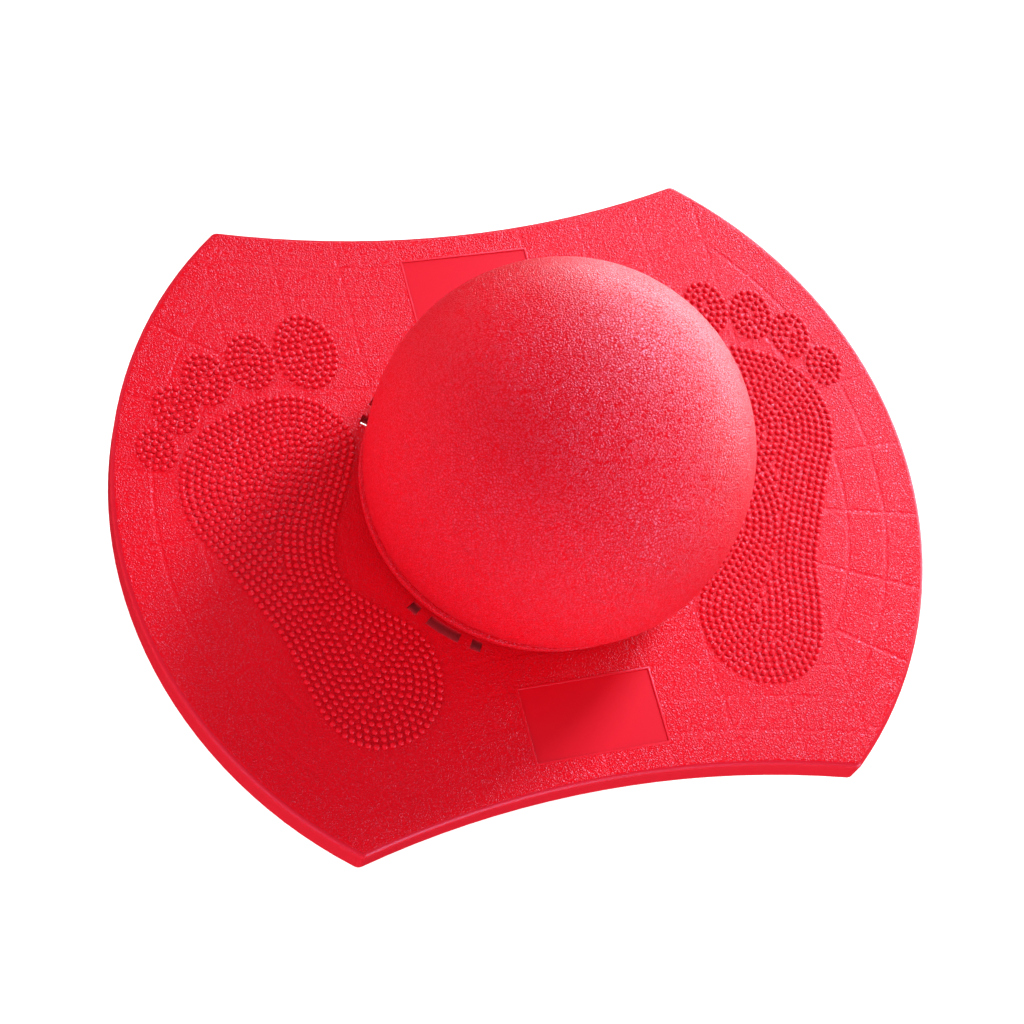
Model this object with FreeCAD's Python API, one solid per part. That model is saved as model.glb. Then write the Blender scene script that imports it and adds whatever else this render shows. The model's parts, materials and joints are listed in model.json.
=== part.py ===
"""Hopping and balance board: a ribbed plastic board that grips an inflated two-lobed ball by its waist.

Millimetres, +Z up. X runs from the left foot to the right foot, and Y from heel to toes.
The origin is the foot of the ball, where it touches the floor, on the ball's own axis.
"""
import FreeCAD
import Part
import math
import os

Vec = FreeCAD.Vector

# Board: outline
board_width = 400.0          # across the two rounded ends, along X
corner_y = 163.3             # where a rounded end meets a hollowed side
end_bulge = 78.3             # how far a rounded end stands out past its corners
side_hollow = 15.6           # how far a side's middle lies inside its corners
corner_round = 4.0

# Board: walls
board_height = 15.0          # deck and rim together
deck_thick = 2.8
rim_thick = 2.6
top_edge_round = 2.6
hole_edge_round = 1.0

# Board: the hole, its collar and the windows beside the collar
hole_radius = 80.0
collar_thick = 3.2
window_gap = 0.4             # flat land between the collar and a window
window_width = 5.4           # along the radius
ring_rib_thick = 2.0
window_group_angle = 46.4    # centre of a group, from the X axis
window_long_angle = 11.2
window_short_angle = 3.4
window_short_offset = 11.25  # centre of a short window, from the centre of its group
web_thick = 1.6

# Board: ribs under the deck
rib_thick = 1.6
rib_drop = 9.0               # how far a rib reaches below the deck
straight_rib_pitch = 32.3
cross_rib_pitch = 17.0
end_rib_pitch = 19.5
end_ribs_each_end = 2
spoke_angle = 11.8
spokes_each_side = 3

# Board: two blank panels, let in a little below the deck, between the ring rib and the side
panel_half_width = 32.3
panel_length = 36.4          # along Y
panel_side_land = 6.7        # past the panel's share of the deck, at the board's side
panel_depth = 0.3

# Ball
lobe_overhang = 9.8          # how far the lobe stands out past the board's hole
lobe_height = 152.0          # from the face of the board to the top of the lobe
lobe_rise = 58.0             # from the face of the board to the lobe's widest ring
shoulder_overhang = 4.6
shoulder_rise = 9.5
lip_bulge = 1.7              # how far the lip beside the board curves out
lip_sag = 1.1                # and down
bead_rise = 10.0
bead_size = 1.3
ball_wall = 3.6
ball_clearance = 0.3         # round the waist, and above and below the board

# Valve seat and plug, on the lower lobe, towards -Y
valve_tilt = 42.0            # from straight down
seat_neck_radius = 9.5
seat_flange_radius = 17.0
seat_flange_thick = 2.4
seat_neck_length = 15.0
seat_set_back = 0.6          # outer face of the seat below the ball's skin
plug_radius = 4.0
plug_shank_length = 12.0
plug_head_radius = 6.8
plug_head_thick = 2.4
plug_head_clearance = 0.3
plug_running_clearance = 0.05
plug_set_back = 0.3          # plug's head below the seat's outer face
plug_slot_width = 1.6
plug_slot_depth = 1.0
plug_head_round = 0.6
plug_tip_round = 1.6
plug_groove_width = 1.2
plug_groove_depth = 0.55
plug_groove_places = (3.6, 7.2)   # from under the head

# Places that follow from the sizes above
corner_x = board_width / 2 - end_bulge
side_middle_y = corner_y - side_hollow
lobe_radius = hole_radius + lobe_overhang
shoulder_radius = hole_radius + shoulder_overhang
mid_z = board_height / 2 + lobe_height
deck_z = mid_z + board_height / 2
base_z = mid_z - board_height / 2
under_deck_z = deck_z - deck_thick
window_inner_radius = hole_radius + collar_thick + window_gap
window_outer_radius = window_inner_radius + window_width
ring_rib_radius = window_outer_radius + ring_rib_thick
panel_middle_y = (ring_rib_radius + side_middle_y - panel_side_land) / 2
straight_ribs_each_side = math.ceil(corner_x / straight_rib_pitch)
cross_ribs_each_side = math.floor(side_middle_y / cross_rib_pitch)
AXIS = Vec(0, 0, 1)
OVERLAP = 0.5                # how far a rib runs into the wall that it grows from


def circle_through_corner(on_axis, corner_along, corner_across):
    """Centre and radius of the circle, centred on an axis, that joins a point on it to both corners."""
    drop = corner_along - on_axis
    centre = (corner_along ** 2 + corner_across ** 2 - on_axis ** 2) / (2 * drop)
    return centre, abs(centre - on_axis)


end_centre, end_radius = circle_through_corner(board_width / 2, corner_x, corner_y)
side_centre, side_radius = circle_through_corner(side_middle_y, corner_y, corner_x)


def outline(inset):
    """The board's outline, moved inwards by inset: two rounded ends and two hollowed sides."""
    end_r = end_radius - inset
    side_r = side_radius + inset
    # Where the end circle, centred on X, meets the side circle, centred on Y
    span = math.hypot(end_centre, side_centre)
    along = (span ** 2 + end_r ** 2 - side_r ** 2) / (2 * span)
    off = math.sqrt(end_r ** 2 - along ** 2)
    ux, uy = -end_centre / span, side_centre / span
    x = end_centre + along * ux + off * uy
    y = along * uy - off * ux
    end_x = end_centre + end_r
    side_y = side_centre - side_r
    arcs = [
        Part.Arc(Vec(x, -y, 0), Vec(end_x, 0, 0), Vec(x, y, 0)),
        Part.Arc(Vec(x, y, 0), Vec(0, side_y, 0), Vec(-x, y, 0)),
        Part.Arc(Vec(-x, y, 0), Vec(-end_x, 0, 0), Vec(-x, -y, 0)),
        Part.Arc(Vec(-x, -y, 0), Vec(0, -side_y, 0), Vec(x, -y, 0)),
    ]
    return Part.Wire([arc.toShape() for arc in arcs])


def plate(inset, bottom, top, rounding):
    """A slab of the outline, with its four upright corners rounded."""
    slab = Part.Face(outline(inset)).extrude(Vec(0, 0, top - bottom))
    slab.translate(Vec(0, 0, bottom))
    upright = [e for e in slab.Edges if len(e.Vertexes) == 2 and abs(e.tangentAt(e.FirstParameter).z) > 0.99]
    return slab.makeFillet(rounding, upright)


def sector(inner, outer, bottom, top, centre_angle, width_angle):
    """Part of a ring: angles in degrees, about the ball's axis."""
    blank = Part.makeCylinder(outer, top - bottom, Vec(0, 0, bottom), AXIS, width_angle)
    blank = blank.cut(Part.makeCylinder(inner, top - bottom, Vec(0, 0, bottom)))
    blank.rotate(Vec(0, 0, 0), AXIS, centre_angle - width_angle / 2)
    return blank


def hoop(radius, thick, bottom, top, centre=Vec(0, 0, 0)):
    """A thin upright ring: its middle line has the given radius."""
    base = Vec(centre.x, centre.y, bottom)
    outside = Part.makeCylinder(radius + thick / 2, top - bottom, base)
    return outside.cut(Part.makeCylinder(radius - thick / 2, top - bottom, base))


def straight_rib(x):
    return Part.makeBox(rib_thick, 2 * corner_y, rib_drop + OVERLAP,
                        Vec(x - rib_thick / 2, -corner_y, under_deck_z - rib_drop))


def rib_field():
    """All the ribs: a grid under the middle, and rings and spokes under the two ends."""
    bottom = under_deck_z - rib_drop
    top = under_deck_z + OVERLAP
    grid_x = straight_ribs_each_side * straight_rib_pitch
    reach = board_width
    middle = Part.makeBox(2 * grid_x, 2 * reach, top - bottom, Vec(-grid_x, -reach, bottom))

    straight = [straight_rib(i * straight_rib_pitch)
                for i in range(-straight_ribs_each_side, straight_ribs_each_side + 1)]
    cross = []
    for i in range(1, cross_ribs_each_side + 1):
        for side in (-1, 1):
            curved = hoop(side_radius + i * cross_rib_pitch, rib_thick, bottom, top,
                          Vec(0, side * side_centre, 0))
            cross.append(curved.common(middle))
    ends = []
    for i in range(1, end_ribs_each_end + 1):
        ends.append(hoop(board_width / 2 - i * end_rib_pitch, rib_thick, bottom, top).cut(middle))
    for i in range(-spokes_each_side, spokes_each_side + 1):
        for end in (0, 180):
            spoke = Part.makeBox(reach, rib_thick, top - bottom, Vec(0, -rib_thick / 2, bottom))
            spoke.rotate(Vec(0, 0, 0), AXIS, end + i * spoke_angle)
            ends.append(spoke.cut(middle))
    ribs = straight[0].multiFuse(straight[1:] + cross + ends)
    ribs = ribs.common(plate(rim_thick - OVERLAP, bottom, top, corner_round))
    return ribs.cut(Part.makeCylinder(ring_rib_radius - OVERLAP, top - bottom, Vec(0, 0, bottom)))


def window_groups():
    return [window_group_angle, 180 - window_group_angle, 180 + window_group_angle, -window_group_angle]


def make_board():
    """Deck, rim, collar, ribs, windows and panels, as one moulding."""
    skin = plate(0, base_z, deck_z, corner_round)
    top_edges = [e for e in skin.Edges if abs(e.BoundBox.ZMin - deck_z) < 1e-6]
    skin = skin.makeFillet(top_edge_round, top_edges)
    hollow = plate(rim_thick, base_z, under_deck_z, corner_round - rim_thick)
    tray = skin.cut(hollow)

    collar = hoop(hole_radius + collar_thick / 2, collar_thick, base_z, under_deck_z + OVERLAP)
    ring_rib = hoop(ring_rib_radius - ring_rib_thick / 2, ring_rib_thick,
                    under_deck_z - rib_drop, under_deck_z + OVERLAP)
    webs = []
    between = (window_long_angle / 2 + window_short_offset - window_short_angle / 2) / 2
    outside = 2 * window_short_offset - between
    for centre in window_groups():
        for angle in (-outside, -between, between, outside):
            web = Part.makeBox(window_gap + window_width + 2 * OVERLAP, web_thick, rib_drop + OVERLAP,
                               Vec(hole_radius + collar_thick - OVERLAP, -web_thick / 2, under_deck_z - rib_drop))
            web.rotate(Vec(0, 0, 0), AXIS, centre + angle)
            webs.append(web)
    board = tray.multiFuse([collar, ring_rib, rib_field()] + webs)
    board = board.cut(Part.makeCylinder(hole_radius, board_height, Vec(0, 0, base_z)))

    cuts = []
    for centre in window_groups():
        for offset, width in ((0, window_long_angle), (-window_short_offset, window_short_angle),
                              (window_short_offset, window_short_angle)):
            cuts.append(sector(window_inner_radius, window_outer_radius, under_deck_z, deck_z,
                               centre + offset, width))
    for middle_y in (panel_middle_y, -panel_middle_y):
        cuts.append(Part.makeBox(2 * panel_half_width, panel_length, panel_depth,
                                 Vec(-panel_half_width, middle_y - panel_length / 2, deck_z - panel_depth)))
    board = board.cut(cuts).removeSplitter()
    rim_of_hole = [e for e in board.Edges if isinstance(e.Curve, Part.Circle)
                   and abs(e.Curve.Radius - hole_radius) < 1e-6]
    return board.makeFillet(hole_edge_round, rim_of_hole)


def ball_form(inset):
    """The ball's solid form, moved inwards by inset: a quarter outline, doubled and turned about Z."""
    half_board = board_height / 2
    widest = Vec(lobe_radius - inset, 0, half_board + lobe_rise)
    pole = Vec(0, 0, half_board + lobe_height - inset)
    centre = Vec(0, 0, widest.z)
    # The cap is a quarter of an ellipse, which may be taller or flatter than a circle
    up, out = pole.z - centre.z, widest.x
    if up > out:
        ellipse = Part.Ellipse(pole, centre + Vec(out, 0, 0), centre)
    else:
        ellipse = Part.Ellipse(centre + Vec(out, 0, 0), pole, centre)
    start, end = sorted((ellipse.parameter(widest), ellipse.parameter(pole)))
    if end - start > math.pi:
        start, end = end, start + 2 * math.pi
    cap = Part.ArcOfEllipse(ellipse, start, end).toShape()

    shoulder = Vec(shoulder_radius - inset, 0, half_board + shoulder_rise)
    fall, tuck = widest.z - shoulder.z, widest.x - shoulder.x
    flank_radius = (fall ** 2 + tuck ** 2) / (2 * tuck)
    half_turn = math.asin(fall / flank_radius) / 2
    flank_mid = Vec(widest.x - flank_radius * (1 - math.cos(half_turn)), 0,
                    widest.z - flank_radius * math.sin(half_turn))
    flank = Part.Arc(widest, flank_mid, shoulder).toShape()

    waist_radius = hole_radius - ball_clearance - inset
    waist = Vec(waist_radius, 0, half_board + ball_clearance)
    lip_mid = (shoulder + waist) * 0.5 + Vec(lip_bulge, 0, -lip_sag)
    lip = Part.Arc(shoulder, lip_mid, waist).toShape()

    upper = [cap, flank, lip]
    flip = FreeCAD.Matrix(1, 0, 0, 0, 0, 1, 0, 0, 0, 0, -1, 0, 0, 0, 0, 1)
    lower = [edge.transformGeometry(flip) for edge in upper]
    neck = Part.makeLine(waist, Vec(waist.x, 0, -waist.z))
    middle_line = Part.makeLine(Vec(0, 0, -pole.z), pole)
    outline_wire = Part.Wire(Part.__sortEdges__(upper + [neck] + lower + [middle_line]))
    solid = Part.Face(outline_wire).revolve(Vec(0, 0, 0), AXIS, 360)
    solid.translate(Vec(0, 0, mid_z))
    return Part.Solid(solid.Shells[0])


def valve_place():
    """Where the valve's axis leaves the lower lobe, and the direction that the plug comes out."""
    out = Vec(0, -math.sin(math.radians(valve_tilt)), -math.cos(math.radians(valve_tilt)))
    centre = Vec(0, 0, base_z - lobe_rise)
    up = lobe_height - lobe_rise
    reach = 1 / math.sqrt((out.y / lobe_radius) ** 2 + (out.z / up) ** 2)
    return centre + out * reach, out


def rod(radius, start, length):
    """A round bar along the valve's axis. start is measured inwards from the ball's skin."""
    skin, out = valve_place()
    return Part.makeCylinder(radius, length, skin - out * start, out * -1)


def make_ball(form):
    """Hollow two-lobed ball with a raised bead above and below the board."""
    beads = []
    for side in (-1, 1):
        ring_z = mid_z + side * (board_height / 2 + bead_rise)
        beads.append(Part.makeTorus(shoulder_radius - bead_size / 4, bead_size, Vec(0, 0, ring_z), AXIS))
    skin = form.multiFuse(beads)
    skin = skin.cut(ball_form(ball_wall))
    return skin.cut(rod(seat_neck_radius, -lobe_height, lobe_height + 3 * ball_wall))


def make_valve_seat(form):
    """Soft boss bonded in the ball's wall: a neck through the wall and a flange against its inside."""
    neck = rod(seat_neck_radius, seat_set_back, seat_neck_length)
    neck = neck.common(form)
    blank = rod(seat_flange_radius, 0, seat_neck_length)
    flange = blank.common(ball_form(ball_wall)).cut(ball_form(ball_wall + seat_flange_thick))
    seat = neck.fuse(flange)
    head_room = seat_set_back + plug_set_back + plug_head_thick
    seat = seat.cut(rod(plug_head_radius + plug_head_clearance, -seat_neck_length, seat_neck_length + head_room))
    seat = seat.cut(rod(plug_radius, 0, 2 * seat_neck_length))
    return seat.removeSplitter()


def make_valve_plug():
    """Stopper with a flat head, two sealing grooves, a rounded tip and a slot to lever it out by."""
    shank_radius = plug_radius - plug_running_clearance
    head_start = seat_set_back + plug_set_back
    shank_start = head_start + plug_head_thick
    plug = rod(plug_head_radius, head_start, plug_head_thick)
    plug = plug.fuse(rod(shank_radius, shank_start, plug_shank_length))
    for place in plug_groove_places:
        groove = rod(2 * shank_radius, shank_start + place, plug_groove_width)
        groove = groove.cut(rod(shank_radius - plug_groove_depth, shank_start, plug_shank_length))
        plug = plug.cut(groove)
    skin, out = valve_place()
    tip = skin - out * (shank_start + plug_shank_length)
    tip_edge = [e for e in plug.Edges if isinstance(e.Curve, Part.Circle)
                and (e.Curve.Center - tip).Length < 1e-6]
    plug = plug.makeFillet(plug_tip_round, tip_edge)
    outer_rim = [e for e in plug.Edges if isinstance(e.Curve, Part.Circle)
                 and abs(e.Curve.Radius - plug_head_radius) < 1e-6
                 and (e.Curve.Center - (skin - out * head_start)).Length < 1e-6]
    plug = plug.makeFillet(plug_head_round, outer_rim)
    slot = Part.makeBox(2 * plug_head_radius, plug_slot_width, plug_slot_depth,
                        Vec(-plug_head_radius, -plug_slot_width / 2, 0))
    slot.rotate(Vec(0, 0, 0), Vec(1, 0, 0), -valve_tilt)
    slot.translate(skin - out * (head_start + plug_slot_depth))
    slot_far = slot.copy()
    slot_far.translate(out * plug_slot_depth)
    return plug.cut(slot.fuse(slot_far))


def main():
    """Make every piece, write its STEP file, and print what it measures."""
    form = ball_form(0)
    pieces = {
        "board": make_board(),
        "ball": make_ball(form),
        "valve_seat": make_valve_seat(form),
        "valve_plug": make_valve_plug(),
    }
    os.makedirs("parts", exist_ok=True)
    for name, shape in pieces.items():
        shape.exportStep("parts/" + name + ".step")
        box = shape.BoundBox
        print(f"{name}: valid {shape.isValid()}, {len(shape.Solids)} solid, {shape.Volume / 1000:.1f} cm3,"
              f" {box.XLength:.1f} x {box.YLength:.1f} x {box.ZLength:.1f} mm, z from {box.ZMin:.1f}")
    skin, out = valve_place()
    print(f"valve axis leaves the ball at {skin.x:.2f}, {skin.y:.2f}, {skin.z:.2f}"
          f" along {out.x:.4f}, {out.y:.4f}, {out.z:.4f}")


main()
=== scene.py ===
import json
import math

import bpy
import numpy as np
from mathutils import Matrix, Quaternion, Vector

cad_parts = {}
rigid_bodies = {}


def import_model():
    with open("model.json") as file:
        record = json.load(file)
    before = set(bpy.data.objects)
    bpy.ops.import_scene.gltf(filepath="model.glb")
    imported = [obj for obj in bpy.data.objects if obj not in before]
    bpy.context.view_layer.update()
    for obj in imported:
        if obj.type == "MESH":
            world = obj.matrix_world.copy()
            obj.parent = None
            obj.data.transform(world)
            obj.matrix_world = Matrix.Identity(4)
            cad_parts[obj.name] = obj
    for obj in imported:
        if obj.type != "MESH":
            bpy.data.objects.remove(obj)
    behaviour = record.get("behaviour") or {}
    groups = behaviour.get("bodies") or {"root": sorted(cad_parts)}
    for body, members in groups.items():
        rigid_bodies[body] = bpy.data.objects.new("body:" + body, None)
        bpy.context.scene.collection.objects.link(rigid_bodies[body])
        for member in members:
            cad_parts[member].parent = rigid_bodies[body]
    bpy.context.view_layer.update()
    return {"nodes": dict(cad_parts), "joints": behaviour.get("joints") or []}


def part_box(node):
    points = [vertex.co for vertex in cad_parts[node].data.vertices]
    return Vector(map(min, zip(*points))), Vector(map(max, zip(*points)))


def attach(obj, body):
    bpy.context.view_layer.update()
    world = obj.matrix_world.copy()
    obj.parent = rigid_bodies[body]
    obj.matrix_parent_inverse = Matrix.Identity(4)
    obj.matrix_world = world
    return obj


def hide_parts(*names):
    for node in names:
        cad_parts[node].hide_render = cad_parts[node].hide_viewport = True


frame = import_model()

board_low, board_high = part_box("board")
ball_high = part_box("ball")[1]
deck_z = board_high.z
mid_z = (board_low.z + board_high.z) / 2

# ------------------------------------------------------------------ Studio
# A pale floor, an even white surround, and a small key lamp high behind the right foot. A big low box
# beside it gives gloss only, the sheen on the ball. Three low fill lamps open the shadows. The camera looks
# down from over the left heel, and is turned about its own axis.
camera_place = Vector((-0.368, -0.457, deck_z + 1.023))
camera_aim = Vector((-0.0116, -0.0084, deck_z))
camera_roll = math.radians(26.7)
bpy.ops.object.camera_add(location=camera_place)
camera = bpy.context.object
camera.rotation_mode = "QUATERNION"
look = (camera_aim - camera_place).to_track_quat("-Z", "Y")
camera.rotation_quaternion = look @ Quaternion((0, 0, 1), camera_roll)
camera.data.lens = 86.16
camera.data.clip_end = 30
bpy.context.scene.camera = camera

bpy.ops.mesh.primitive_plane_add(size=14, location=(0, 0, 0))
floor = bpy.context.object
floor.name = "floor"
floor.visible_glossy = False


def new_material(name):
    """A new material, its node tree and its shader."""
    material = bpy.data.materials.new(name)
    material.use_nodes = True
    return material, material.node_tree, material.node_tree.nodes["Principled BSDF"]


def map_range(tree, value, from_min=0, from_max=1, to_min=0, to_max=1, easing="LINEAR"):
    """A value carried from one range to another, and held at both ends."""
    node = tree.nodes.new("ShaderNodeMapRange")
    node.interpolation_type = easing
    node.inputs["From Min"].default_value = from_min
    node.inputs["From Max"].default_value = from_max
    node.inputs["To Min"].default_value = to_min
    node.inputs["To Max"].default_value = to_max
    tree.links.new(value, node.inputs["Value"])
    return node.outputs["Result"]


def dress(piece, material):
    piece.data.materials.clear()
    piece.data.materials.append(material)


paint, tree, shader = new_material("pale_floor")
shader.inputs["Base Color"].default_value = (0.86, 0.86, 0.87, 1)
shader.inputs["Roughness"].default_value = 0.9
shader.inputs["Specular IOR Level"].default_value = 0.1
shader.inputs["Emission Color"].default_value = (1, 1, 1, 1)
# The floor glows more for the camera than for the object that it lights
ray = tree.nodes.new("ShaderNodeLightPath")
glow = map_range(tree, ray.outputs["Is Camera Ray"], to_min=0.25, to_max=0.62)
tree.links.new(glow, shader.inputs["Emission Strength"])
dress(floor, paint)

world = bpy.data.worlds.new("studio")
bpy.context.scene.world = world
world.use_nodes = True
world.node_tree.nodes["Background"].inputs["Color"].default_value = (1, 1, 1, 1)
world.node_tree.nodes["Background"].inputs["Strength"].default_value = 0.46
world.cycles_visibility.glossy = False


def lamp(name, azimuth, elevation, distance, size, power, glossy=True, diffuse=True):
    """A square soft lamp that faces the ball. Azimuth is counted from +X towards +Y, in degrees."""
    around, up = math.radians(azimuth), math.radians(elevation)
    away = Vector((math.cos(around) * math.cos(up), math.sin(around) * math.cos(up), math.sin(up)))
    target = Vector((0, 0, deck_z + 0.04))
    bpy.ops.object.light_add(type="AREA", location=target + away * distance)
    light = bpy.context.object
    light.name = name
    light.data.size = size
    light.data.energy = power
    light.rotation_euler = (-away).to_track_quat("-Z", "Y").to_euler()
    light.visible_glossy = glossy
    light.visible_diffuse = diffuse


lamp("key_lamp", azimuth=34, elevation=38, distance=1.7, size=0.42, power=23)
lamp("sheen_box", azimuth=34, elevation=4, distance=1.6, size=2.2, power=84, diffuse=False)
lamp("left_fill", azimuth=210, elevation=9, distance=1.9, size=1.3, power=23, glossy=False)
lamp("right_fill", azimuth=308, elevation=6, distance=1.9, size=1.3, power=27)
lamp("back_fill", azimuth=122, elevation=6, distance=1.9, size=1.3, power=20, glossy=False)
bpy.context.scene.view_settings.view_transform = "Standard"

# ------------------------------------------------------------------ Board
# One injection moulding in red polypropylene: deck, rim, collar and ribs. The mould's face is grained all
# over the deck but polished on the rim and on the two blank panels. Faint lines show on the deck above the
# ribs, where the thick plastic shrank as it cooled.
board_red = (0.82, 0.003, 0.012, 1)
gloss_tint = (0.15, 0.54, 1, 1)
panel_half_width = 0.0323
panel_inner_y = 0.0978
panel_outer_y = 0.1342


def reckon(tree, operation, *values):
    """One math node. A value is a number or the socket that it comes from."""
    node = tree.nodes.new("ShaderNodeMath")
    node.operation = operation
    for socket, value in zip(node.inputs, values):
        if isinstance(value, (int, float)):
            socket.default_value = value
        else:
            tree.links.new(value, socket)
    return node.outputs["Value"]


def noise(tree, place, scale, detail):
    node = tree.nodes.new("ShaderNodeTexNoise")
    node.inputs["Scale"].default_value = scale
    node.inputs["Detail"].default_value = detail
    tree.links.new(place, node.inputs["Vector"])
    return node


grain = bpy.data.node_groups.new("moulded_grain", "ShaderNodeTree")
grain.interface.new_socket("Place", in_out="INPUT", socket_type="NodeSocketVector")
grain.interface.new_socket("Cell Size", in_out="INPUT", socket_type="NodeSocketFloat")
grain.interface.new_socket("Wander", in_out="INPUT", socket_type="NodeSocketFloat")
grain.interface.new_socket("Height", in_out="OUTPUT", socket_type="NodeSocketFloat")
nodes, links = grain.nodes, grain.links
way_in = nodes.new("NodeGroupInput")
way_out = nodes.new("NodeGroupOutput")
per_cell = reckon(grain, "DIVIDE", 1, way_in.outputs["Cell Size"])
scaled = nodes.new("ShaderNodeVectorMath")
scaled.operation = "SCALE"
links.new(way_in.outputs["Place"], scaled.inputs["Vector"])
links.new(per_cell, scaled.inputs["Scale"])
drift = noise(grain, scaled.outputs["Vector"], 0.9, 1)
pushed = nodes.new("ShaderNodeVectorMath")
pushed.operation = "MULTIPLY_ADD"
links.new(drift.outputs["Color"], pushed.inputs[0])
links.new(way_in.outputs["Wander"], pushed.inputs[1])
links.new(scaled.outputs["Vector"], pushed.inputs[2])
cells = nodes.new("ShaderNodeTexVoronoi")
cells.feature = "DISTANCE_TO_EDGE"
cells.inputs["Scale"].default_value = 1
links.new(pushed.outputs["Vector"], cells.inputs["Vector"])
pillow = map_range(grain, cells.outputs["Distance"], from_max=0.32, easing="SMOOTHSTEP")
uneven = noise(grain, scaled.outputs["Vector"], 0.7, 2)
links.new(reckon(grain, "MULTIPLY", pillow, uneven.outputs["Fac"]), way_out.inputs["Height"])

# Lines over the ribs: straight and curved ones under the middle, rings and spokes under the two ends
rib_pitch = 0.0323
rib_field_half = 4 * rib_pitch
cross_rib_pitch = 0.017
side_centre = 0.630
side_radius = 0.4825
end_rib_pitch = 0.0195
spoke_step = math.radians(11.8)
sink_width = 0.0020
plain_middle = 0.8           # how strongly the marks show under the middle
plain_more = 0.7             # and how much more near the two ends

sink = bpy.data.node_groups.new("rib_sink_marks", "ShaderNodeTree")
sink.interface.new_socket("Place", in_out="INPUT", socket_type="NodeSocketVector")
sink.interface.new_socket("Mark", in_out="OUTPUT", socket_type="NodeSocketFloat")
nodes, links = sink.nodes, sink.links
way_in = nodes.new("NodeGroupInput")
way_out = nodes.new("NodeGroupOutput")
place = nodes.new("ShaderNodeSeparateXYZ")
links.new(way_in.outputs["Place"], place.inputs["Vector"])


def off_nearest(tree, value, step):
    """How far value is from the nearest whole multiple of step."""
    whole = reckon(tree, "MULTIPLY", reckon(tree, "ROUND", reckon(tree, "DIVIDE", value, step)), step)
    return reckon(tree, "ABSOLUTE", reckon(tree, "SUBTRACT", value, whole))


across = reckon(sink, "ABSOLUTE", place.outputs["X"])
along = reckon(sink, "ABSOLUTE", place.outputs["Y"])
from_side = reckon(sink, "SUBTRACT", side_centre, along)
side_reach = reckon(sink, "SQRT", reckon(sink, "ADD", reckon(sink, "MULTIPLY", across, across),
                                         reckon(sink, "MULTIPLY", from_side, from_side)))
reach = reckon(sink, "SQRT", reckon(sink, "ADD", reckon(sink, "MULTIPLY", across, across),
                                    reckon(sink, "MULTIPLY", along, along)))
straight = off_nearest(sink, across, rib_pitch)
cross = off_nearest(sink, reckon(sink, "SUBTRACT", side_reach, side_radius), cross_rib_pitch)
ring = off_nearest(sink, reckon(sink, "SUBTRACT", board_high.x, reach), end_rib_pitch)
turn = off_nearest(sink, reckon(sink, "ARCTAN2", along, across), spoke_step)
spoke = reckon(sink, "MULTIPLY", turn, reach)
inner = reckon(sink, "MINIMUM", straight, cross)
outer = reckon(sink, "MINIMUM", ring, spoke)
at_end = reckon(sink, "GREATER_THAN", across, rib_field_half + rib_pitch / 10)
nearest = reckon(sink, "ADD", reckon(sink, "MULTIPLY", outer, at_end),
                 reckon(sink, "MULTIPLY", inner, reckon(sink, "SUBTRACT", 1, at_end)))
fade = map_range(sink, nearest, from_max=sink_width, to_min=1, to_max=0, easing="SMOOTHERSTEP")
plainness = reckon(sink, "ADD", plain_middle, reckon(sink, "MULTIPLY", at_end, plain_more))
links.new(reckon(sink, "MULTIPLY", fade, plainness), way_out.inputs["Mark"])

deck_facing = 0.97           # a face that looks up at least this much belongs to the deck
stipple_depth = 0.00032
sink_depth = 0.00012
sink_smoothing = 0.3         # share of the grain that is lost along a sink mark
smooth_gloss = 0.45
board_roughness = 0.3
grain_roughness = 0.02


def shifted(colour, red, green, blue):
    """A colour with its three parts scaled one by one."""
    return colour[0] * red, colour[1] * green, colour[2] * blue, 1


def blend(tree, share, first, second):
    """A mix of two colours. Each is a colour or the socket that it comes from."""
    node = tree.nodes.new("ShaderNodeMix")
    node.data_type = "RGBA"
    tree.links.new(share, node.inputs["Factor"])
    for socket, colour in ((node.inputs["A"], first), (node.inputs["B"], second)):
        if isinstance(colour, tuple):
            socket.default_value = colour
        else:
            tree.links.new(colour, socket)
    return node.outputs["Result"]


plastic, tree, shader = new_material("red_board_plastic")
nodes, links = tree.nodes, tree.links
coordinates = nodes.new("ShaderNodeTexCoord")
here = nodes.new("ShaderNodeSeparateXYZ")
links.new(coordinates.outputs["Object"], here.inputs["Vector"])
facing = nodes.new("ShaderNodeSeparateXYZ")
links.new(coordinates.outputs["Normal"], facing.inputs["Vector"])
off_x = reckon(tree, "ABSOLUTE", here.outputs["X"])
off_y = reckon(tree, "ABSOLUTE", here.outputs["Y"])
in_panel = reckon(tree, "MULTIPLY", reckon(tree, "LESS_THAN", off_x, panel_half_width),
                  reckon(tree, "MULTIPLY", reckon(tree, "GREATER_THAN", off_y, panel_inner_y),
                         reckon(tree, "LESS_THAN", off_y, panel_outer_y)))
on_deck = reckon(tree, "GREATER_THAN", facing.outputs["Z"], deck_facing)
grained = reckon(tree, "MULTIPLY", on_deck, reckon(tree, "SUBTRACT", 1, in_panel))

stipple = nodes.new("ShaderNodeGroup")
stipple.node_tree = grain
stipple.inputs["Cell Size"].default_value = 0.0013
stipple.inputs["Wander"].default_value = 1.1
links.new(coordinates.outputs["Object"], stipple.inputs["Place"])
marks = nodes.new("ShaderNodeGroup")
marks.node_tree = sink
links.new(coordinates.outputs["Object"], marks.inputs["Place"])

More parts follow.
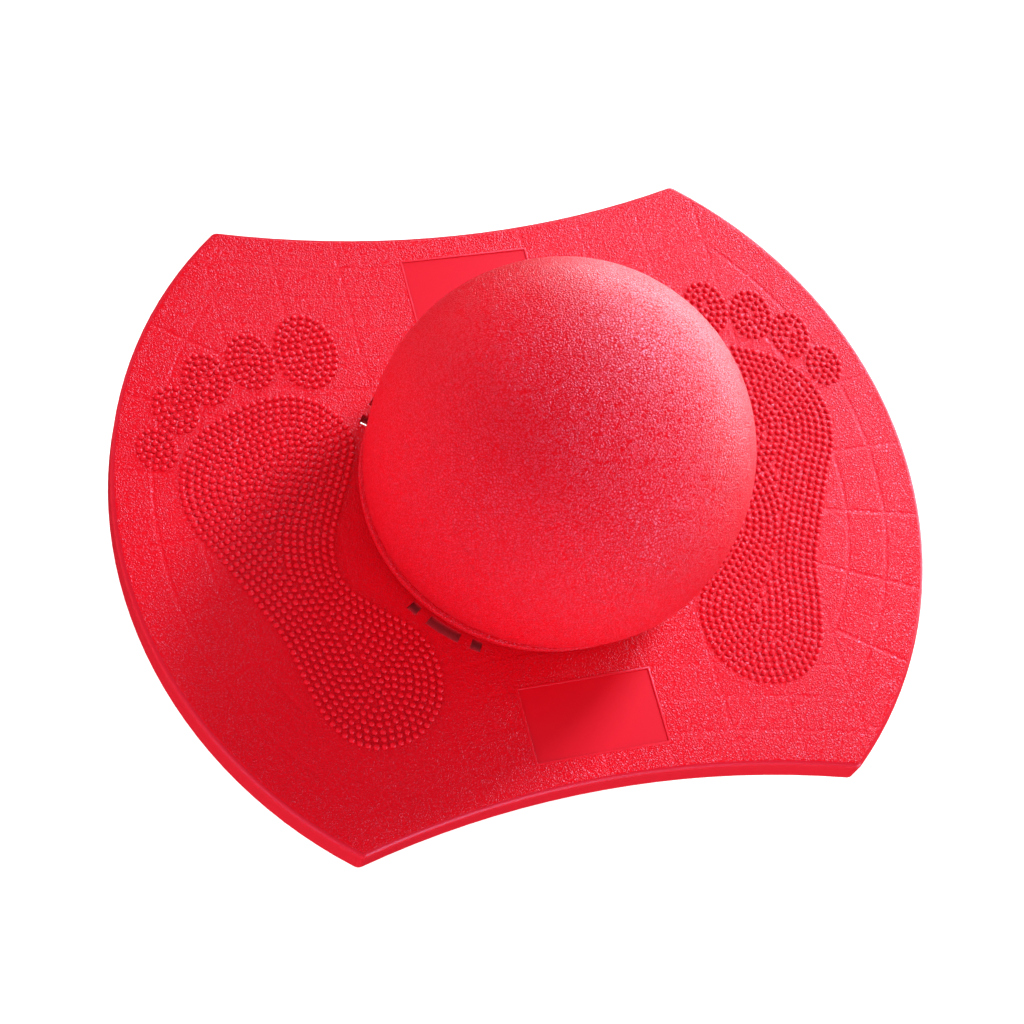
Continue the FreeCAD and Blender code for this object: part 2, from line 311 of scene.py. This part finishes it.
# The grain is shallower along a sink mark, so the mark shows as a smoother line
marked = reckon(tree, "MULTIPLY", marks.outputs["Mark"], grained)
grain_left = reckon(tree, "SUBTRACT", 1, reckon(tree, "MULTIPLY", marked, sink_smoothing))
stippled = reckon(tree, "MULTIPLY", reckon(tree, "MULTIPLY", stipple.outputs["Height"], grained), grain_left)
relief = reckon(tree, "SUBTRACT", reckon(tree, "MULTIPLY", stippled, stipple_depth),
                reckon(tree, "MULTIPLY", marked, sink_depth))
bump = nodes.new("ShaderNodeBump")
bump.inputs["Strength"].default_value = 1
bump.inputs["Distance"].default_value = 1
links.new(relief, bump.inputs["Height"])
links.new(bump.outputs["Normal"], shader.inputs["Normal"])

mottle = noise(tree, coordinates.outputs["Object"], 14, 3)
deck_tint = blend(tree, mottle.outputs["Fac"], board_red, shifted(board_red, 0.94, 0.9, 0.85))
# Painted shade and painted reflection: faces that don't look up, the rim among them, are painted darker and
# pinker than the deck
board_tint_with_painted_rim_light = blend(tree, on_deck, shifted(board_red, 0.8, 2, 1.6), deck_tint)
links.new(board_tint_with_painted_rim_light, shader.inputs["Base Color"])
# The pits of the grain are duller than its crests
crest = map_range(tree, stipple.outputs["Height"], from_max=0.4, to_min=0.1, to_max=0.55)
dulled = reckon(tree, "MULTIPLY", grained, reckon(tree, "SUBTRACT", crest, smooth_gloss))
links.new(reckon(tree, "ADD", dulled, smooth_gloss), shader.inputs["Specular IOR Level"])
rough = reckon(tree, "ADD", board_roughness, reckon(tree, "MULTIPLY", grained, grain_roughness))
links.new(rough, shader.inputs["Roughness"])
shader.inputs["IOR"].default_value = 1.49
shader.inputs["Specular Tint"].default_value = gloss_tint
dress(frame["nodes"]["board"], plastic)

# ------------------------------------------------------------------ Panel borders
# A low polished border stands round each blank panel, moulded with the deck. It catches the light as a
# thin line.
border_width = 0.0011
border_height = 0.00022
panel_length = panel_outer_y - panel_inner_y
borders = []
for side in (-1, 1):
    middle = side * (panel_inner_y + panel_length / 2)
    bpy.ops.mesh.primitive_plane_add(size=2, location=(0, middle, deck_z))
    border = bpy.context.object
    border.name = "front_panel_border" if side < 0 else "back_panel_border"
    border.scale = (panel_half_width + border_width, panel_length / 2 + border_width, 1)
    bpy.ops.object.transform_apply(location=True, rotation=True, scale=True)
    bpy.ops.object.mode_set(mode="EDIT")
    bpy.ops.mesh.select_all(action="SELECT")
    bpy.ops.mesh.inset(thickness=border_width)
    bpy.ops.mesh.delete(type="FACE")
    bpy.ops.object.mode_set(mode="OBJECT")
    bpy.ops.object.modifier_add(type="SOLIDIFY")
    border.modifiers[-1].thickness = 2 * border_height
    border.modifiers[-1].offset = 0
    bpy.ops.object.modifier_apply(modifier=border.modifiers[-1].name)
    bpy.ops.object.modifier_add(type="BEVEL")
    border.modifiers[-1].width = border_height
    border.modifiers[-1].segments = 3
    bpy.ops.object.modifier_apply(modifier=border.modifiers[-1].name)
    bpy.ops.object.shade_smooth_by_angle(angle=math.radians(50))
    borders.append(border)

# ------------------------------------------------------------------ Massage nubs
# Small domes moulded on the deck in the shape of two bare feet. They stand on rings that follow each
# outline inwards, on the sole and on every toe. The right foot is the left one mirrored.
nub_radius = 0.0015
nub_height = 0.00115
nub_root = 0.0001            # how far a dome reaches into the deck
ring_gap = 0.00352
nub_gap = 0.00385
least_gap = 0.76 * nub_gap   # two nubs are never closer than this
spare_room = 0.8 * nub_gap   # a bare spot this far from every nub gets one more
ring_break = 1.6 * nub_gap   # a longer hop along a ring ends one run and starts the next
ring_slip = 0.0001           # how far a spot on a ring may stray outwards
most_rings = 30
sole_points = [
    (-0.1126, 0.0672), (-0.1335, 0.0618), (-0.1545, 0.0489), (-0.1642, 0.0295), (-0.1634, 0.0102),
    (-0.1529, -0.0124), (-0.1395, -0.0406), (-0.1324, -0.0576), (-0.1274, -0.0810), (-0.1198, -0.1020),
    (-0.1110, -0.1108), (-0.0970, -0.1142), (-0.0770, -0.1060), (-0.0672, -0.0850), (-0.0715, -0.0640),
    (-0.0884, -0.0470), (-0.1008, -0.0330), (-0.1022, -0.0140), (-0.0948, 0.0053), (-0.0852, 0.0247),
    (-0.0802, 0.0424), (-0.0868, 0.0569), (-0.0985, 0.0652),
]
toes = [                     # centre across and along, half width, half length, lean in degrees
    (-0.0910, 0.0908, 0.0140, 0.0194, 2),
    (-0.1190, 0.0890, 0.0102, 0.0142, 4),
    (-0.1420, 0.0822, 0.0098, 0.0132, 9),
    (-0.1595, 0.0680, 0.0090, 0.0120, 12),
    (-0.1722, 0.0485, 0.0082, 0.0103, 10),
]


def sole_outline():
    """The sole's outline as many short steps, from a smooth closed curve through its points."""
    curve = bpy.data.curves.new("sole", "CURVE")
    spline = curve.splines.new("BEZIER")
    spline.use_cyclic_u = True
    spline.bezier_points.add(len(sole_points) - 1)
    for point, (x, y) in zip(spline.bezier_points, sole_points):
        point.co = (x, y, 0)
        point.handle_left_type = "AUTO"
        point.handle_right_type = "AUTO"
    spline.resolution_u = 40
    drawn = bpy.data.objects.new("sole", curve)
    mesh = bpy.data.meshes.new_from_object(drawn)
    steps = np.array([vertex.co[:2] for vertex in mesh.vertices])
    bpy.data.objects.remove(drawn)
    return steps


def toe_outline(x, y, half_width, half_length, lean):
    turn = np.linspace(0, 2 * np.pi, 240, endpoint=False)
    wide, long = half_width * np.cos(turn), half_length * np.sin(turn)
    tilt = math.radians(lean)
    return np.column_stack([x + wide * math.cos(tilt) - long * math.sin(tilt),
                            y + wide * math.sin(tilt) + long * math.cos(tilt)])


def inside(spots, outline):
    """Which of the spots lie inside a closed outline, by how often a line to their right crosses it."""
    here_x, here_y = spots[:, None, 0], spots[:, None, 1]
    start, end = outline, np.roll(outline, -1, 0)
    spans = (start[:, 1] > here_y) != (end[:, 1] > here_y)
    rise = np.where(end[:, 1] == start[:, 1], 1, end[:, 1] - start[:, 1])
    crossing = start[:, 0] + (here_y - start[:, 1]) / rise * (end[:, 0] - start[:, 0])
    return np.sum(spans & (here_x < crossing), axis=1) % 2 == 1


def rings_of_nubs(outline):
    """Nub centres on rings inside a closed outline. Each ring is one gap further in than the last."""
    ahead = np.roll(outline, -1, 0) - np.roll(outline, 1, 0)
    ahead /= np.linalg.norm(ahead, axis=1)[:, None]
    inward = np.column_stack([-ahead[:, 1], ahead[:, 0]])
    area = np.sum(outline[:, 0] * np.roll(outline[:, 1], -1) - outline[:, 1] * np.roll(outline[:, 0], -1))
    inward *= np.sign(area)
    placed = []
    for ring in range(most_rings):
        inset = ring * ring_gap
        path = outline + inward * inset
        room = np.linalg.norm(path[:, None] - outline[None], axis=2).min(1)
        kept = path[room > inset - ring_slip]
        if len(kept) == 0:
            break
        start = int(np.argmax(np.linalg.norm(kept - np.roll(kept, 1, 0), axis=1)))
        kept = np.roll(kept, -start, 0)
        hops = np.linalg.norm(np.diff(kept, axis=0, append=kept[:1]), axis=1)
        breaks = np.flatnonzero(hops > ring_break)
        ends = [0, *(breaks + 1), len(kept)]
        closed = len(breaks) == 0
        for first, last in zip(ends[:-1], ends[1:]):
            run = kept[first:last]
            if len(run) == 0:
                continue
            if closed:
                run = np.vstack([run, run[:1]])
            travelled = np.concatenate([[0], np.cumsum(np.linalg.norm(np.diff(run, axis=0), axis=1))])
            count = max(int(round(travelled[-1] / nub_gap)), 1)
            stops = np.linspace(0, travelled[-1], count + 1)
            if closed and count > 1:
                stops = stops[:-1]
            for stop in stops:
                x = np.interp(stop, travelled, run[:, 0])
                y = np.interp(stop, travelled, run[:, 1])
                spot = np.array([x, y])
                if not placed or np.linalg.norm(np.array(placed) - spot, axis=1).min() > least_gap:
                    placed.append(spot)
    # Then the gaps that the rings leave in the middle are filled
    low, high = outline.min(0), outline.max(0)
    step = nub_gap / 6
    across, along = np.meshgrid(np.arange(low[0], high[0], step), np.arange(low[1], high[1], step))
    spare = np.column_stack([across.ravel(), along.ravel()])
    spare = spare[inside(spare, outline)]
    room = np.linalg.norm(spare[:, None] - np.array(placed)[None], axis=2).min(1)
    while room.max() > spare_room:
        spot = spare[np.argmax(room > spare_room)]
        placed.append(spot)
        room = np.minimum(room, np.linalg.norm(spare - spot, axis=1))
    return placed


def select_only(piece):
    bpy.ops.object.select_all(action="DESELECT")
    piece.select_set(True)
    bpy.context.view_layer.objects.active = piece


bpy.ops.mesh.primitive_uv_sphere_add(segments=10, ring_count=6, radius=nub_radius, location=(0, 0, 0))
nub = bpy.context.object
bpy.ops.object.mode_set(mode="EDIT")
bpy.ops.mesh.select_all(action="SELECT")
bpy.ops.mesh.bisect(plane_co=(0, 0, 0), plane_no=(0, 0, 1), use_fill=True, clear_inner=True)
bpy.ops.mesh.select_all(action="SELECT")
bpy.ops.transform.resize(value=(1, 1, (nub_height + nub_root) / nub_radius))
bpy.ops.transform.translate(value=(0, 0, -nub_root))
bpy.ops.object.mode_set(mode="OBJECT")
bpy.ops.object.shade_smooth()

spots = rings_of_nubs(sole_outline())
for toe in toes:
    spots.extend(rings_of_nubs(toe_outline(*toe)))
lattice = bpy.data.meshes.new("nub_places")
lattice.from_pydata([(x, y, deck_z) for x, y in spots], [], [])
holder = bpy.data.objects.new("nub_places", lattice)
bpy.context.scene.collection.objects.link(holder)
nub.parent = holder
holder.instance_type = "VERTS"
select_only(holder)
bpy.ops.object.duplicates_make_real()
holder.select_set(False)
domes = [o for o in bpy.context.selected_objects if o.type == "MESH"]
bpy.context.view_layer.objects.active = domes[0]
bpy.ops.object.make_single_user(object=True, obdata=True)
bpy.ops.object.join()
left_nubs = bpy.context.object
left_nubs.name = "left_foot_nubs"
bpy.ops.object.transform_apply(location=True, rotation=True, scale=True)
bpy.data.objects.remove(nub)
bpy.data.objects.remove(holder)

select_only(left_nubs)
bpy.ops.object.duplicate()
right_nubs = bpy.context.object
right_nubs.name = "right_foot_nubs"
right_nubs.scale = (-1, 1, 1)
bpy.ops.object.transform_apply(location=True, rotation=True, scale=True)
bpy.ops.object.mode_set(mode="EDIT")
bpy.ops.mesh.select_all(action="SELECT")
bpy.ops.mesh.normals_make_consistent(inside=False)
bpy.ops.object.mode_set(mode="OBJECT")



def haze(tree, scale, detail, least, more):
    """Let the roughness wander softly between two values."""
    coordinates = tree.nodes.new("ShaderNodeTexCoord")
    smear = noise(tree, coordinates.outputs["Object"], scale, detail)
    rough = reckon(tree, "ADD", least, reckon(tree, "MULTIPLY", smear.outputs["Fac"], more))
    tree.links.new(rough, tree.nodes["Principled BSDF"].inputs["Roughness"])


nub_plastic, tree, shader = new_material("red_nub_plastic")
haze(tree, scale=900, detail=2, least=0.27, more=0.16)
# Painted shade and painted highlight: each nub is painted darker at its foot and lighter and pinker towards
# its top
coordinates = tree.nodes.new("ShaderNodeTexCoord")
rise = tree.nodes.new("ShaderNodeSeparateXYZ")
tree.links.new(coordinates.outputs["Object"], rise.inputs["Vector"])
painted_light_up_nub = map_range(tree, rise.outputs["Z"], from_min=deck_z, from_max=deck_z + nub_height)
nub_tint_with_painted_light = blend(tree, painted_light_up_nub, board_red, shifted(board_red, 1.07, 1.3, 1.2))
tree.links.new(nub_tint_with_painted_light, shader.inputs["Base Color"])
shader.inputs["IOR"].default_value = 1.49
shader.inputs["Specular Tint"].default_value = gloss_tint
for piece in (left_nubs, right_nubs, *borders):
    dress(piece, nub_plastic)
    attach(piece, "board")

# ------------------------------------------------------------------ Ball
# One hollow soft PVC moulding with a leather grain, two lobes and a waist, blown up tight in the board's
# hole. A thin bead runs round each lobe beside the board, and the flank tucks in above it. Blown up by hand,
# the upper lobe is a little slimmer, and sits nearly a centimetre over towards the heels.
ball_red = (0.87, 0.006, 0.018, 1)
half_board = (board_high.z - board_low.z) / 2
lobe_radius = ball_high.x
lobe_height = ball_high.z - deck_z
lobe_rise = 0.058
shoulder_radius = 0.0846
bead_rise = 0.010
bead_size = 0.0013
bead_sunk = 0.3              # share of the bead's size that is set into the shoulder
bead_ledge = 0.0017          # how far the bead stands out from the flank above it
lip_bulge = 0.0017           # how full the skin is between the bead and the waist
lip_sag = 0.6                # share of that fullness by which it also sags towards the board
waist_radius = 0.0797
waist_gap = 0.0003
ball_wall = 0.0036
lean = Vector((-0.0017, -0.0087))
lean_height = 0.045
slack = 0.006                # how much slimmer the upper lobe is than when blown up hard
weld_gap = 0.00002
drill_length = 0.06


def lobe_profile():
    """Half of the ball's outline: radius and height above the board's middle, from the pole to the waist."""
    rise = half_board + lobe_rise
    up = lobe_height - lobe_rise
    line = [(lobe_radius * math.sin(t), rise + up * math.cos(t)) for t in np.linspace(0, math.pi / 2, 44)]
    fall = lobe_rise - bead_rise - bead_size
    tuck = lobe_radius - shoulder_radius + bead_ledge
    flank = (fall ** 2 + tuck ** 2) / (2 * tuck)
    for t in np.linspace(0, math.asin(fall / flank), 14)[1:]:
        line.append((lobe_radius - flank * (1 - math.cos(t)), rise - flank * math.sin(t)))
    for t in np.linspace(math.radians(70), math.radians(-70), 7):
        line.append((shoulder_radius + bead_size * (math.cos(t) - bead_sunk),
                     half_board + bead_rise + bead_size * math.sin(t)))
    low = half_board + bead_rise - bead_size
    for s in np.linspace(0, 1, 9)[1:]:
        bulge = lip_bulge * math.sin(math.pi * s)
        line.append((shoulder_radius + (waist_radius - shoulder_radius) * s + bulge,
                     low + (half_board + waist_gap - low) * s - lip_sag * bulge))
    return line


upper = lobe_profile()
outline = upper + [(waist_radius, 0)] + [(r, -z) for r, z in reversed(upper)]
profile = bpy.data.meshes.new("ball_skin")
steps = [(i, i + 1) for i in range(len(outline) - 1)]
profile.from_pydata([(r, 0, mid_z + z) for r, z in outline], steps, [])
ball_skin = bpy.data.objects.new("ball_skin", profile)
bpy.context.scene.collection.objects.link(ball_skin)
select_only(ball_skin)
bpy.ops.object.mode_set(mode="EDIT")
bpy.ops.mesh.select_all(action="SELECT")
bpy.ops.mesh.spin(steps=144, angle=2 * math.pi, center=(0, 0, mid_z), axis=(0, 0, 1))
bpy.ops.mesh.select_all(action="SELECT")
bpy.ops.mesh.remove_doubles(threshold=weld_gap)
bpy.ops.mesh.normals_make_consistent(inside=False)
bpy.ops.object.mode_set(mode="OBJECT")
# The lean and the slack grow smoothly from the deck up to lean_height above it
for vertex in ball_skin.data.vertices:
    share = min(max((vertex.co.z - deck_z) / lean_height, 0), 1)
    share = share * share * (3 - 2 * share)
    vertex.co.x += (lean.x - slack * vertex.co.x) * share
    vertex.co.y += (lean.y - slack * vertex.co.y) * share
bpy.ops.object.modifier_add(type="SOLIDIFY")
ball_skin.modifiers[-1].thickness = ball_wall
ball_skin.modifiers[-1].offset = -1
bpy.ops.object.modifier_apply(modifier=ball_skin.modifiers[-1].name)

plug_out = Vector(next(j["axis"] for j in frame["joints"] if j["name"] == "valve_pull"))
plug_low, plug_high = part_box("valve_plug")
seat_neck_radius = 0.0095
bpy.ops.mesh.primitive_cylinder_add(vertices=72, radius=seat_neck_radius, depth=drill_length,
                                    location=(plug_low + plug_high) / 2,
                                    rotation=plug_out.to_track_quat("Z", "Y").to_euler())
drill = bpy.context.object
bpy.context.view_layer.objects.active = ball_skin
bpy.ops.object.modifier_add(type="BOOLEAN")
ball_skin.modifiers[-1].object = drill
ball_skin.modifiers[-1].operation = "DIFFERENCE"
bpy.ops.object.modifier_apply(modifier=ball_skin.modifiers[-1].name)
bpy.data.objects.remove(drill)
select_only(ball_skin)
bpy.ops.object.shade_smooth_by_angle(angle=math.radians(40))

leather_depth = 0.00042
crease_gain = 2.4

pvc, tree, shader = new_material("red_ball_pvc")
nodes, links = tree.nodes, tree.links
coordinates = nodes.new("ShaderNodeTexCoord")
leather = nodes.new("ShaderNodeGroup")
leather.node_tree = grain
leather.inputs["Cell Size"].default_value = 0.0013
leather.inputs["Wander"].default_value = 1.3
links.new(coordinates.outputs["Object"], leather.inputs["Place"])
bump = nodes.new("ShaderNodeBump")
bump.inputs["Strength"].default_value = 1
bump.inputs["Distance"].default_value = leather_depth
links.new(leather.outputs["Height"], bump.inputs["Height"])
links.new(bump.outputs["Normal"], shader.inputs["Normal"])
# Painted shade: the creases of the leather are painted darker than its crests. They are also duller
out_of_painted_crease_shade = reckon(tree, "MULTIPLY", leather.outputs["Height"], crease_gain)
links.new(blend(tree, out_of_painted_crease_shade, shifted(ball_red, 0.8, 0.6, 0.6), ball_red), shader.inputs["Base Color"])
crest = map_range(tree, leather.outputs["Height"], from_max=0.34)
links.new(crest, shader.inputs["Specular IOR Level"])
shader.inputs["Roughness"].default_value = 0.36
shader.inputs["IOR"].default_value = 1.52
shader.inputs["Specular Tint"].default_value = gloss_tint
dress(ball_skin, pvc)
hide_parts("ball")
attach(ball_skin, "ball")

# ------------------------------------------------------------------ Valve
# A thick soft boss is bonded in the lower lobe's wall, and a flat-headed stopper is pressed into it.
# The stopper has a slot across its head, so that a coin or a blade can lever it out.
boss, tree, shader = new_material("red_seat_pvc")
haze(tree, scale=400, detail=2, least=0.35, more=0.2)
shader.inputs["Base Color"].default_value = (0.72, 0.009, 0.020, 1)
dress(frame["nodes"]["valve_seat"], boss)

stopper, tree, shader = new_material("white_stopper_plastic")
haze(tree, scale=600, detail=3, least=0.3, more=0.2)
shader.inputs["Base Color"].default_value = (0.80, 0.78, 0.73, 1)
dress(frame["nodes"]["valve_plug"], stopper)
